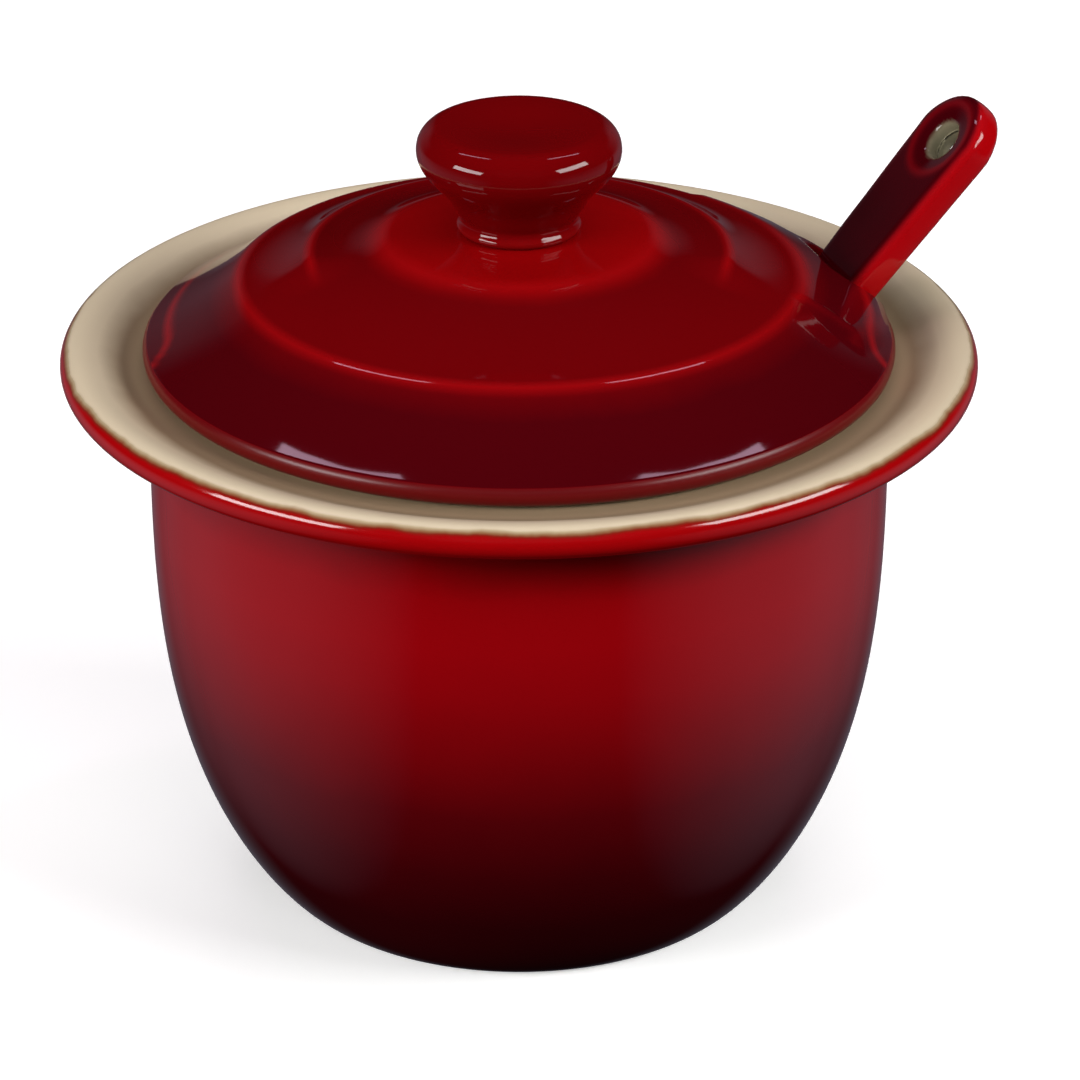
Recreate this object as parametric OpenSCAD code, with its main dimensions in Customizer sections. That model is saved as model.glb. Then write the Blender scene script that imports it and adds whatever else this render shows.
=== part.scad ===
// Stoneware jam pot with a domed lid, a mushroom knob and a spoon that stands in a notch of the lid.
// The pot's axis is +Z, its base is on z = 0, and the spoon leans towards +X.

/* [Pot] */
// Height from the table to the crest of the rim
pot_h = 77.3; // [65:0.1:110]
// Widest diameter of the body, just under the rim
body_d = 97.4; // [90:0.1:104]
// Diameter of the dry base that the pot stands on
base_d = 64; // [50:0.5:76]
// How far below the rim the swelling body reaches its widest diameter
shoulder_drop = 6.6; // [4:0.1:20]
// Thickness of the body's wall
pot_wall = 3.5; // [2.8:0.1:4.4]
// Thickness of the floor
floor_t = 5.5; // [4:0.1:9]

/* [Rim] */
// How far the rim stands out past the body
rim_out = 11.3; // [9:0.1:15]
// Thickness of the rim at its rounded edge
rim_t = 4.3; // [3:0.1:6]
// How far the lid's seat lies below the crest of the rim
seat_drop = 2.4; // [1:0.1:4]
// Width of the flat seat
seat_w = 5; // [4:0.1:6]
// Radius of the rounded corner where the seat turns down into the mouth
mouth_round = 1.2; // [0.8:0.1:1.8]
// Radius of the fillet under the rim
under_round = 2; // [1:0.1:3]

/* [Lid] */
// Gap between the lid's edge and the outer end of the seat
lid_side_gap = 1; // [0.5:0.1:2]
// Height of the lid's rounded edge band
lid_edge_t = 3.2; // [2.4:0.1:4]
// Height of the lid from its lower face to the flat under the knob
lid_h = 17.4; // [13:0.1:24]
// Thickness of the lid's shell
lid_wall = 4.2; // [3.5:0.1:5.5]
// Diameter of the outer ring's crest
ring_1_d = 73.2; // [68:0.2:76]
// Diameter of the middle ring's crest
ring_2_d = 54.6; // [48:0.2:60]
// Diameter of the inner ring's crest
ring_3_d = 35.4; // [32:0.2:42]
// Depth of the hollow between two rings
ring_sag = 0.9; // [0.4:0.05:1.4]
// Depth of the hollow between the outer ring and the lid's edge
skirt_sag = 0.4; // [0.2:0.05:0.8]
// Angle, seen from above, of the plain front band where the middle ring stops
band_angle = 156; // [90:1:180]
// Direction of the middle of the plain band, from the spoon's side
band_dir = -109; // [-135:0.5:-90]

/* [Hood and notch] */
// Angle of the raised hood about the pot's axis
hood_angle = 68; // [60:1:90]
// Height of the hood's outer edge above the dome's curve
hood_rise = 0.8; // [0.4:0.1:1.2]
// How far the hood's outer edge stays inside the lid's edge, at the hood's two sides
hood_inset = 5.5; // [4.4:0.1:6.4]
// How much further out the hood's outer edge reaches at the notch than at its two sides
hood_bow = 3.3; // [2.2:0.1:4]
// Gap on each side of the spoon's handle in the notch
notch_side_gap = 0.9; // [0.8:0.1:4]
// Gap between the handle and the inner end of the notch
notch_end_gap = 0.6; // [0.5:0.1:1.5]
// Radius of the notch's inner corners
notch_round = 3; // [1.5:0.1:4]
// How much wider each side of the notch is at the lid's edge
notch_flare = 0.8; // [0.4:0.1:2]

/* [Knob] */
// Widest diameter of the knob
knob_d = 26.6; // [22:0.2:30]
// Height of the knob above the lid
knob_h = 14.3; // [12:0.1:18]
// Diameter of the knob's neck
neck_d = 15; // [13:0.2:18]
// Diameter of the bead round the knob's foot
knob_foot_d = 16.2; // [14:0.2:20]
// Height of the bead round the knob's foot
knob_foot_h = 1.5; // [1:0.1:2]
// Depth of the dish in the knob's top
knob_dish = 0.6; // [0.2:0.05:1]

/* [Spoon] */
// Length from the tip of the bowl to the end of the handle
spoon_len = 128.3; // [121:0.1:135]
// Angle between the spoon and the pot's axis
spoon_lean = 40.7; // [38:0.1:43]
// Length of the bowl over its rim
bowl_len = 37.4; // [32:0.2:42]
// Width of the bowl over its rim
bowl_w = 28.8; // [25:0.2:34]
// Depth of the bowl over its outside
bowl_depth = 9; // [7:0.1:11]
// Thickness of the bowl
bowl_wall = 2.6; // [2:0.1:3.5]
// Thickness of the handle
handle_t = 4.4; // [3.6:0.1:5.6]
// Width of the handle where it leaves the bowl
handle_neck_w = 8; // [6:0.1:9]
// Width of the handle at its round end
handle_end_w = 15.2; // [13:0.1:17.6]
// Radius of the handle's long edges
handle_round = 1; // [0.6:0.1:1.6]
// Diameter of the hanging hole
hole_d = 5.2; // [4:0.1:6.4]
// Distance from the hole's centre to the end of the handle
hole_inset = 7.0; // [6:0.1:9]
// Depth of the soft dimple round the hanging hole
dimple_depth = 0.7; // [0.3:0.05:1]
// Diameter of the soft dimple round the hanging hole
dimple_d = 10.8; // [9:0.1:11.4]

/* [Hidden] */
$fn = 96;

// Gap left between pieces that rest on each other and come apart
clear = 0.3;
// How far a cut runs past the face that it opens
over = 1;

// Steps along a long curve, round a small corner, and round the handle's section
curve_steps = 24;
corner_steps = 6;
section_steps = 5;

// The body swells by a power curve: these two are its powers
swell_power = 3;
swell_root = 0.83;
// The lid's dome falls away from its flat by this power of the distance from the axis
dome_power = 3;
// The handle widens towards its end by this power of the distance from the bowl
handle_power = 1.15;

base_r = base_d / 2;
body_r = body_d / 2;
rim_r = body_r + rim_out;
rim_edge_r = rim_t / 2;
mouth_r = body_r - pot_wall;
seat_z = pot_h - seat_drop;
seat_r = mouth_r + seat_w;
crest_r = rim_r - rim_edge_r;
under_z = seat_z - rim_t;
swell_h = under_z - shoulder_drop;

lid_z = seat_z + clear;
lid_r = seat_r - lid_side_gap;
lid_edge_r = lid_edge_t / 2;
lid_in_r = lid_r - lid_wall - lid_edge_r / 8;
top_z = lid_z + lid_h;
flat_r = knob_foot_d / 2 + over;
rings_r = [ring_1_d / 2, ring_2_d / 2, ring_3_d / 2];
// The beads of the lid's edge and of the knob's foot run up to these angles above the horizontal
bead_angle = 50;
foot_angle = 60;
skirt_r = lid_r - lid_edge_r + lid_edge_r * cos(bead_angle);
skirt_z = lid_z + lid_edge_r + lid_edge_r * sin(bead_angle);
hood_r = lid_r - hood_inset;
hood_half = hood_angle / 2;
// The hood's outer wall is a steep cone about an axis nearer the spoon, which bows it out at the notch
hood_tip_r = hood_r + hood_bow;
hood_axis_x = (pow(hood_tip_r, 2) - pow(hood_r, 2)) / (2 * (hood_tip_r - hood_r * cos(hood_half)));
hood_wall_slope = 0.5;

// The bowl is part of a spindle: an arc of bowl_arc_r turned about an axis bowl_axis above its rim
bowl_axis = (pow(bowl_w / 2, 2) - pow(bowl_depth, 2)) / (2 * bowl_depth);
bowl_arc_r = (pow(bowl_len / 2, 2) + pow(bowl_depth, 2)) / (2 * bowl_depth);
bowl_arc_drop = bowl_arc_r - bowl_axis - bowl_depth;
handle_len = spoon_len - bowl_len / 2;
handle_start = bowl_len / 2 - bowl_wall;
dimple_r = (pow(dimple_d / 2, 2) + pow(dimple_depth, 2)) / (2 * dimple_depth);

// The back of the handle rests on the mouth's round edge, where the handle's two sides meet it
mouth_edge_r = mouth_r + mouth_round;
mouth_edge_x = sqrt(pow(mouth_edge_r, 2) - pow(handle_w_at_mouth() / 2, 2));
mouth_edge_z = seat_z - mouth_round;
// x of the handle's inner face at z = 0, and from there at any height
face_x0 = mouth_edge_x - (mouth_round + clear + handle_t) / cos(spoon_lean) - mouth_edge_z * tan(spoon_lean);
function face_x(z) = face_x0 + z * tan(spoon_lean);
// Height on that face of the bowl's middle: the bowl's arc then just clears the floor
bowl_z = floor_t + clear + bowl_arc_r - (bowl_arc_r - bowl_depth) * sin(spoon_lean);

// Width of the handle at a distance from the bowl's middle, before its end rounds off
function handle_share(d) = max(0, d - bowl_len / 2) / (handle_len - bowl_len / 2);
function handle_w(d) = handle_neck_w + (handle_end_w - handle_neck_w) * pow(handle_share(d), handle_power);
function handle_w_at_mouth() = handle_w(handle_len * 2 / 3);

// The notch ends just inside the handle's face, at the height where that face meets the shell's lower side
function meet_z(z, tries) = tries == 0 ? z : meet_z((z + dome_z(face_x(z)) - lid_wall) / 2, tries - 1);
notch_x = face_x(meet_z(lid_z, corner_steps)) - notch_end_gap;
notch_w = handle_w_at_mouth() + 2 * notch_side_gap;

// Points of an arc about [x, z], from angle a to angle b
function arc(x, z, r, a, b, n) = [for (i = [0:n]) let (t = a + (b - a) * i / n) [x + r * cos(t), z + r * sin(t)]];

// Radius of the body's outside at a height
function body_at(z) =
    base_r + (body_r - base_r) * pow(1 - pow(1 - min(z, swell_h) / swell_h, swell_power), swell_root);

// Radius of the hollow at a height: the outside's curve, drawn from the floor up and one wall smaller
function hollow_at(z) = body_at((z - floor_t) * swell_h / (swell_h - floor_t)) - pot_wall;

// Height of the lid's dome at a distance from the axis
function dome_z(r) = top_z - (top_z - skirt_z) * pow(r / skirt_r, dome_power);

// Points from one ring's crest in to the next, hollowed by ring_sag between them
function terrace(r_out, r_in, sag) = [
    for (i = [0:corner_steps]) let (t = i / corner_steps, r = r_out + (r_in - r_out) * t)
        [r, dome_z(r_out) + (dome_z(r_in) - dome_z(r_out)) * t - 4 * sag * t * (1 - t)]
];

module pot() {
    outside = [for (i = [0:curve_steps]) let (z = swell_h * pow(i / curve_steps, 2)) [body_at(z), z]];
    fillet = arc(body_r + under_round, under_z - under_round, under_round, 180, 90, corner_steps);
    edge = arc(crest_r, pot_h - rim_edge_r, rim_edge_r, -90, 90, 2 * corner_steps);
    dish = [
        for (i = [1:curve_steps / 2]) let (t = i / (curve_steps / 2))
            [crest_r + (seat_r - crest_r) * t, seat_z + seat_drop * (1 + cos(180 * t)) / 2]
    ];
    mouth = arc(mouth_edge_r, mouth_edge_z, mouth_round, 90, 180, corner_steps);
    hollow = [
        for (i = [curve_steps:-1:0]) let (z = floor_t + (swell_h - floor_t) * pow(i / curve_steps, 2))
            [hollow_at(z), z]
    ];
    color("firebrick")
        rotate_extrude()
            polygon(concat([[0, 0]], outside, fillet, edge, dish, mouth, hollow, [[0, floor_t]]));
}

module lid_body() {
    edge = arc(lid_r - lid_edge_r, lid_z + lid_edge_r, lid_edge_r, -90, bead_angle, 2 * corner_steps);
    skirt = terrace(skirt_r, rings_r[0], skirt_sag);
    band = terrace(rings_r[0], rings_r[2], ring_sag);
    crown = terrace(rings_r[2], flat_r, 0);
    under = [
        for (i = [0:curve_steps / 2]) let (r = lid_in_r * i / (curve_steps / 2))
            [r, dome_z(r) - lid_wall]
    ];
    rotate_extrude()
        polygon(concat(edge, skirt, band, crown, [[flat_r, top_z], [0, top_z]], under, [[lid_in_r, lid_z]]));
}

// The middle ring, which stands on the band and stops where the plain front band begins
module middle_ring() {
    outer = terrace(rings_r[0], rings_r[1], ring_sag);
    inner = terrace(rings_r[1], rings_r[2], ring_sag);
    // Its foot follows the dome inside the lid's wall, so the hollow below stays clear
    foot = [
        for (i = [0:corner_steps]) let (r = rings_r[2] + (rings_r[0] - rings_r[2]) * i / corner_steps)
            [r, dome_z(r) - lid_wall * 3 / 4]
    ];
    rotate([0, 0, band_dir + band_angle / 2])
        rotate_extrude(angle = 360 - band_angle)
            polygon(concat(outer, inner, foot));
}

// The raised hood, which carries the outer ring's level out to the notch
module hood() {
    ring_z = dome_z(rings_r[0]);
    lip_z = dome_z(hood_r) + hood_rise;
    low_z = dome_z(lid_r) - lid_wall / 2;
    high_z = ring_z + over;
    wall_r = hood_tip_r - hood_axis_x;
    top = [
        for (i = [0:corner_steps]) let (t = i / corner_steps, r = rings_r[0] + (hood_tip_r - rings_r[0]) * t)
            [r, dome_z(r) + hood_rise * t]
    ];
    intersection() {
        rotate([0, 0, -hood_half])
            rotate_extrude(angle = hood_angle)
                polygon(concat([[rings_r[0] - lid_edge_r, ring_z - lid_wall / 2]], top,
                               [[lid_r, low_z + lid_edge_r], [lid_r, low_z],
                                [hood_r - lid_edge_r, dome_z(hood_r) - lid_wall / 2]]));
        translate([hood_axis_x, 0, low_z])
            cylinder(h = high_z - low_z, r1 = wall_r + hood_wall_slope * (lip_z - low_z),
                     r2 = wall_r - hood_wall_slope * (high_z - lip_z));
    }
}

// The open slot through which the spoon's handle leaves
module notch() {
    half = notch_w / 2;
    side = arc(notch_x + notch_round, half - notch_round, notch_round, 180, 90, corner_steps);
    other = [for (i = [corner_steps:-1:0]) [side[i][0], -side[i][1]]];
    far = lid_r + over;
    translate([0, 0, lid_z - over])
        linear_extrude(lid_h + 2 * over)
            polygon(concat(side, [[far, half + notch_flare], [far, -half - notch_flare]], other));
}

module lid() {
    color("darkred")
        difference() {
            union() {
                lid_body();
                middle_ring();
                hood();
            }
            notch();
        }
}

module lid_knob() {
    // Heights as shares of the knob's height, and how far out each lies between the neck and the widest point
    rise_shares = [0.19, 0.34, 0.5, 0.65, 0.78];
    out_shares = [0.09, 0.31, 0.66, 0.93, 1];
    neck_r = neck_d / 2;
    knob_r = knob_d / 2;
    foot_r = knob_foot_d / 2;
    bead = knob_foot_h / 2;
    head_z = knob_h * rise_shares[4];
    head_round = knob_h - head_z;
    foot = arc(foot_r - bead, bead, bead, -90, foot_angle, corner_steps);
    flare = [for (i = [0:4]) [neck_r + (knob_r - neck_r) * out_shares[i], knob_h * rise_shares[i]]];
    head = arc(knob_r - head_round, head_z, head_round, 10, 90, corner_steps);
    dish_r = knob_r - head_round;
    dish = [for (i = [1:corner_steps]) let (t = i / corner_steps)
        [dish_r * (1 - t), knob_h - knob_dish * (1 - cos(180 * t)) / 2]];
    color("firebrick")
        translate([0, 0, top_z])
            rotate_extrude()
                polygon(concat([[0, 0]], foot, [[neck_r, knob_foot_h]], flare, head, dish));
}

// A spindle about the spoon's own axis, from which the bowl and its hollow are cut
module spindle(shrink) {
    r = bowl_arc_r - shrink;
    reach = sqrt(pow(r, 2) - pow(bowl_arc_drop, 2));
    points = [for (i = [0:curve_steps]) let (x = reach * cos(180 * i / curve_steps))
        [max(0, sqrt(pow(r, 2) - pow(x, 2)) - bowl_arc_drop), x]];
    translate([0, 0, bowl_axis])
        rotate([0, 90, 0])
            rotate_extrude()
                polygon(points);
}

// Half width of the handle at a distance from the bowl's middle, with the round end
function handle_half(d) =
    let (end_r = handle_end_w / 2, past = max(0, d - (handle_len - end_r)))
    min(handle_w(d) / 2, sqrt(max(0, pow(end_r, 2) - pow(past, 2))));

// One ring of the handle's skin: a rectangle with round corners, hung below the face z = 0
function handle_ring(d) =
    let (half = handle_half(d), r = min(handle_round, half * 0.98))
    [for (k = [0:3], i = [0:section_steps])
        let (t = 90 * k + 90 * i / section_steps,
             sy = (k == 0 || k == 3) ? 1 : -1,
             sz = (k == 0 || k == 1) ? 1 : -1)
        [d, sy * (half - r) + r * cos(t), -handle_t / 2 + sz * (handle_t / 2 - r) + r * sin(t)]];

module handle() {
    end_r = handle_end_w / 2;
    shaft = [for (i = [0:curve_steps - 1]) handle_start + (handle_len - end_r - handle_start) * i / curve_steps];
    tip = [for (i = [0:2 * corner_steps]) handle_len - end_r + end_r * sin(85 * i / (2 * corner_steps))];
    rings = [for (d = concat(shaft, tip)) handle_ring(d)];
    n = len(rings[0]);
    count = len(rings);
    points = [for (ring = rings, p = ring) p];
    sides = [for (j = [0:count - 2], i = [0:n - 1], half = [0, 1])
        let (a = j * n + i, b = j * n + (i + 1) % n, c = a + n, d = b + n)
            half == 0 ? [a, c, b] : [b, c, d]];
    caps = [[for (i = [0:n - 1]) i], [for (i = [n - 1:-1:0]) (count - 1) * n + i]];
    polyhedron(points = points, faces = concat(sides, caps));
}

module spoon() {
    hole_x = handle_len - hole_inset;
    color("firebrick")
        translate([face_x(bowl_z), 0, bowl_z])
            rotate([0, spoon_lean - 90, 0])
                difference() {
                    union() {
                        intersection() {
                            spindle(0);
                            translate([-bowl_len, -bowl_w, -2 * bowl_depth])
                                cube([2 * bowl_len, 2 * bowl_w, 2 * bowl_depth]);
                        }
                        handle();
                    }
                    spindle(bowl_wall);
                    translate([hole_x, 0, -handle_t - over])
                        cylinder(h = handle_t + 2 * over, d = hole_d);
                    translate([hole_x, 0, dimple_r - dimple_depth])
                        sphere(r = dimple_r);
                }
}

pot();
lid();
lid_knob();
spoon();
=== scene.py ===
# %% [markdown]
# A glazed stoneware jam pot: a round pot with a wide rim, a domed lid with rings and a hood over
# its notch, a knob stuck on the lid, and a spoon that leans out through the notch. The packed
# model comes in first as the fixed frame, in metres, and each piece below takes the place of
# its own solid.

# %% Load the imported model
import math

import bmesh
import bpy
import numpy as np
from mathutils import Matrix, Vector


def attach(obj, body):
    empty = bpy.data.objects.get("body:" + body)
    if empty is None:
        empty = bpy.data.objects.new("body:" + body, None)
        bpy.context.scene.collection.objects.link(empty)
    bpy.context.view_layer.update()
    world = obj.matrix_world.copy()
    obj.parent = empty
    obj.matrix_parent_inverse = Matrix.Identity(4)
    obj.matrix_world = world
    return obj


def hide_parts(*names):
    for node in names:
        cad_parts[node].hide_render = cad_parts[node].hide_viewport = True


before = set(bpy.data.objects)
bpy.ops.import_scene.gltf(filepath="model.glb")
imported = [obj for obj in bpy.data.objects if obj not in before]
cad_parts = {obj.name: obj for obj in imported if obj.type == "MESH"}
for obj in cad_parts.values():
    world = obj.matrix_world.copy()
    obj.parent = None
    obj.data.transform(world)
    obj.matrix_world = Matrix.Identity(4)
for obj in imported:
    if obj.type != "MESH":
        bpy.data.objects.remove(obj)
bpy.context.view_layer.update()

# %% [markdown]
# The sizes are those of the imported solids, in millimetres: a scene can't read the part's source,
# so they are said again here. Two things differ. The hollow of the lid's skirt, skirt_sag, is
# 0.6 here and 0.4 in the solid. The hood's flanks, set by flank_slope and flank_inset, are
# softer and narrower than the solid's.

# %% Sizes of the pot
MM = 0.001
body_r, base_r, floor_t, pot_wall = 48.7, 32.0, 5.5, 3.5
pot_h, rim_out, rim_t, seat_drop, seat_w = 77.3, 11.3, 4.3, 2.4, 5.0
under_round, mouth_round, shoulder_drop, clear = 2.0, 1.2, 6.6, 0.3
rim_edge_r, mouth_r, seat_z = rim_t / 2, body_r - pot_wall, pot_h - seat_drop
crest_r, seat_r, under_z = body_r + rim_out - rim_edge_r, mouth_r + seat_w, seat_z - rim_t
swell_h = under_z - shoulder_drop
print("pot over the rim:", 2 * (crest_r + rim_edge_r), "mm, widest body at", swell_h, "mm")

# %% Sizes of the lid
lid_h, lid_edge_r, lid_wall, lid_side_gap = 17.4, 1.6, 4.2, 1.0
lid_z, lid_r = seat_z + clear, seat_r - lid_side_gap
lid_in_r = lid_r - lid_wall - lid_edge_r / 8
top_z = lid_z + lid_h
ring_1, ring_2, ring_3, flat_r = 36.6, 27.3, 17.7, 9.1
ring_sag, skirt_sag = 0.9, 0.6
bead_angle = math.radians(50)
skirt_r = lid_r - lid_edge_r + lid_edge_r * math.cos(bead_angle)
skirt_z = lid_z + lid_edge_r + lid_edge_r * math.sin(bead_angle)
band_angle, band_dir = math.radians(156), math.radians(-109)
print("lid:", 2 * lid_r, "mm across, its top at", round(top_z, 2), "mm")

# %% Sizes of the hood and the notch
hood_rise, hood_half, hood_inset, hood_bow = 0.8, math.radians(34), 5.5, 3.3
hood_r = lid_r - hood_inset
hood_tip_r = hood_r + hood_bow
hood_axis_x = (hood_tip_r**2 - hood_r**2) / (2 * (hood_tip_r - hood_r * math.cos(hood_half)))
hood_wall_slope, flank_slope, flank_inset = 0.5, 1.2, 2.3
notch_round, notch_side_gap, notch_end_gap, notch_flare = 3.0, 0.9, 0.6, 0.8
print("hood reaches", round(hood_tip_r, 2), "mm, about an axis at x =", round(hood_axis_x, 2), "mm")

# %% Sizes of the spoon
spoon_len, spoon_lean = 128.3, math.radians(40.7)
bowl_len, bowl_w, bowl_depth, bowl_wall = 37.4, 28.8, 9.0, 2.6
handle_t, neck_w, end_w, handle_round = 4.4, 8.0, 15.2, 1.0
hole_r, hole_inset, dimple_r, dimple_depth = 2.6, 7.0, 5.4, 0.7
handle_len = spoon_len - bowl_len / 2
hole_x = handle_len - hole_inset
bowl_arc_r = ((bowl_len / 2) ** 2 + bowl_depth**2) / (2 * bowl_depth)
print("spoon:", spoon_len, "mm long, its hole", round(hole_x, 2), "mm from the bowl's middle")

# %% [markdown]
# Every piece is a grid of points: one direction runs along a profile, the other goes round and
# closes on itself. The first and the last line of the grid shrink to a single point, so the skin
# has no hole. Such shapes could be sculpted too, but a formula keeps to the solids' sizes.
# Numbers that belong to the points, such as how thin the glaze is, go along as attributes that
# the materials read. They are called marks below.

# %% Skin over a grid of points
def ring_faces(lines, columns):
    """Four-sided faces between neighbouring lines and columns; the last column joins the first."""
    line, column = np.meshgrid(np.arange(lines - 1), np.arange(columns), indexing="ij")
    after = (column + 1) % columns
    corners = [line * columns + column, line * columns + after,
               (line + 1) * columns + after, (line + 1) * columns + column]
    return np.stack(corners, -1).reshape(-1, 4)


def set_marks(mesh, marks):
    """Stores one number a point under each mark's name."""
    for mark, values in marks.items():
        numbers = mesh.attributes.new(mark, "FLOAT", "POINT").data
        numbers.foreach_set("value", values.astype(np.float32))


def make_piece(name, points, quads, marks, walls=()):
    """Puts points (mm), quads and many-sided walls in a mesh in metres, without the points that
    no quad uses, then welds doubles, turns faces outwards and smooths."""
    used = np.zeros(len(points), bool)
    used[quads] = True
    number = np.cumsum(used) - 1
    faces = number[quads].tolist() + [number[wall].tolist() for wall in walls]
    mesh = bpy.data.meshes.new(name)
    mesh.from_pydata((points[used] * MM).tolist(), [], faces)
    set_marks(mesh, {mark: values[used] for mark, values in marks.items()})
    work = bmesh.new()
    work.from_mesh(mesh)
    bmesh.ops.remove_doubles(work, verts=work.verts, dist=1e-6)
    bmesh.ops.recalc_face_normals(work, faces=work.faces)
    work.to_mesh(mesh)
    work.free()
    mesh.shade_smooth()
    piece = bpy.data.objects.new(name, mesh)
    bpy.context.scene.collection.objects.link(piece)
    print(name, len(mesh.vertices), "points", len(mesh.polygons), "faces")
    return piece


def turned(name, r, z, columns, marks):
    """A profile (radius, height) turned about the pot's axis: x = r cos a, y = r sin a."""
    angle = np.linspace(0, 2 * np.pi, columns, endpoint=False)
    points = np.stack([r[:, None] * np.cos(angle), r[:, None] * np.sin(angle),
                       np.broadcast_to(z[:, None], (len(r), columns))], -1).reshape(-1, 3)
    spread = {mark: np.repeat(values, columns) for mark, values in marks.items()}
    return make_piece(name, points, ring_faces(len(r), columns), spread)


print("a grid of 3 lines by 4 columns has", len(ring_faces(3, 4)), "faces")

# %% [markdown]
# Glaze leaves no sharp edge on clay, so edges are arcs, and two slopes that meet at a crest are
# joined softly. A Bevel modifier would round edges too, but not by the same size all over.

# %% Curves that the profiles share
def arc(x, z, r, start, end, steps):
    """Points of a circle's arc about (x, z), from one angle to another, in degrees."""
    angle = np.radians(np.linspace(start, end, steps))
    return np.stack([x + r * np.cos(angle), z + r * np.sin(angle)], -1)


def ease(start, end, value):
    """Goes from 0 to 1 between start and end, as 3t² − 2t³."""
    t = np.clip((value - start) / (end - start), 0, 1)
    return t * t * (3 - 2 * t)


def soft_min(a, b, width):
    """The lower of two heights with the corner rounded off; also how near they are, 0 to 1."""
    near = np.clip(1 - np.abs(a - b) / width, 0, 1)
    return np.minimum(a, b) - near * near * width / 4, near


def along(profile):
    """Distance along a profile from its first point."""
    return np.concatenate([[0], np.cumsum(np.hypot(*np.diff(profile, axis=0).T))])


print("ease goes", [round(float(ease(0, 1, t)), 3) for t in (0, 0.25, 0.5, 0.75, 1)])

# %% [markdown]
# The pot is thrown or cast, so it is a body of revolution. A drawn curve with a Screw modifier
# would do as well, but a formula gives the sizes. Its outside swells by a power curve, a hollow
# fillet leads under the rim, and the rim's round edge falls away inwards to the seat that the
# lid rests on. The profile runs from the middle of the base, up the outside, over the rim and
# down the hollow to the middle of the floor. The mark edge_mm says how far a point lies along
# the profile from the line where the red glaze stops on the rim, and foot_mm how far it lies
# from the flat of the base, where the clay is bare.

# %% Pot
def body_at(z):
    """Radius of the outside: base + swell · (1 − (1 − z/h)³) to the power 0.83."""
    share = 1 - (1 - np.minimum(z, swell_h) / swell_h) ** 3
    return base_r + (body_r - base_r) * share ** 0.83


up = swell_h * np.linspace(0, 1, 60) ** 2
inner_up = floor_t + (swell_h - floor_t) * np.linspace(1, 0, 50) ** 2
inner_r = body_at((inner_up - floor_t) * swell_h / (swell_h - floor_t)) - pot_wall
fall = np.linspace(0, 1, 20)[1:]
fall_z = seat_z + (pot_h - seat_z) * (1 + np.cos(np.pi * fall)) / 2
base_bevel, seat_in, seat_out, floor_in, floor_flat_r = 0.6, 1.3, 1.0, 1.5, 12
pot_profile = np.vstack([
    [[0, 0], [base_r * 0.5, 0], [base_r - base_bevel, 0]],
    np.stack([body_at(up), up], -1),
    arc(body_r + under_round, under_z - under_round, under_round, 180, 90, 10),
    arc(crest_r, pot_h - rim_edge_r, rim_edge_r, -90, 90, 33),
    np.stack([crest_r + (seat_r - crest_r) * fall, fall_z], -1),
    [[seat_r - seat_in, seat_z], [mouth_r + mouth_round + seat_out, seat_z]],
    arc(mouth_r + mouth_round, seat_z - mouth_round, mouth_round, 90, 180, 10),
    np.stack([inner_r, inner_up], -1),
    [[base_r - pot_wall - floor_in, floor_t], [floor_flat_r, floor_t], [0, floor_t]]])
glaze_stop_r, glaze_stop_z = 59.4, 76.65
glaze_stop = np.argmin(np.hypot(pot_profile[:, 0] - glaze_stop_r, pot_profile[:, 1] - glaze_stop_z))
walk = along(pot_profile)
foot_start = walk[2]
pot = turned("Pot", pot_profile[:, 0], pot_profile[:, 1], 288,
             {"edge_mm": walk - walk[glaze_stop], "foot_mm": walk - foot_start})

# %% [markdown]
# The lid is a dome with three raised rings, and a low hood over the notch at its edge. It could
# be turned and then carved, but the hood and the middle ring, which fades out in front, don't
# run all round, so it is a height over the plan. Hollow steps lie between the ring crests, each
# a straight slope less a parabola, joined by a soft minimum so that the crests are a little
# round, as glaze leaves them. The hood is raised over the skirt by a soft maximum, and its own
# top, wall and flanks meet by soft minimums.

# %% Heights of the lid
ring_soft, crown_soft, lip_soft, flank_soft, hood_foot_soft = 1.0, 0.8, 1.4, 0.8, 1.2
fade_before, fade_after = 0.16, 0.1


def dome(r):
    """The dome falls away from its flat top by the third power of the radius."""
    return top_z - (top_z - skirt_z) * (r / skirt_r) ** 3


def step(r, outer, inner, sag):
    """A hollow step between two crests: a straight slope less 4 · sag · t(1 − t)."""
    t = (outer - r) / (outer - inner)
    return dome(outer) + (dome(inner) - dome(outer)) * t - 4 * sag * t * (1 - t)


def hood_height(r, angle):
    """The hood's top, cut off by a steep cone outside and by a steep slope on each flank."""
    top = dome(r) + hood_rise * (r - ring_1) / (hood_tip_r - ring_1)
    from_axis = np.hypot(r * np.cos(angle) - hood_axis_x, r * np.sin(angle))
    wall = dome(hood_r) + hood_rise - (from_axis - (hood_tip_r - hood_axis_x)) / hood_wall_slope
    flank = top - flank_slope * (r * (np.abs(angle) - hood_half) + flank_inset)
    lip, near_lip = soft_min(top, wall, lip_soft)
    height, near_flank = soft_min(lip, flank, flank_soft)
    return height, np.maximum(near_lip, 0.8 * near_flank)


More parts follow.
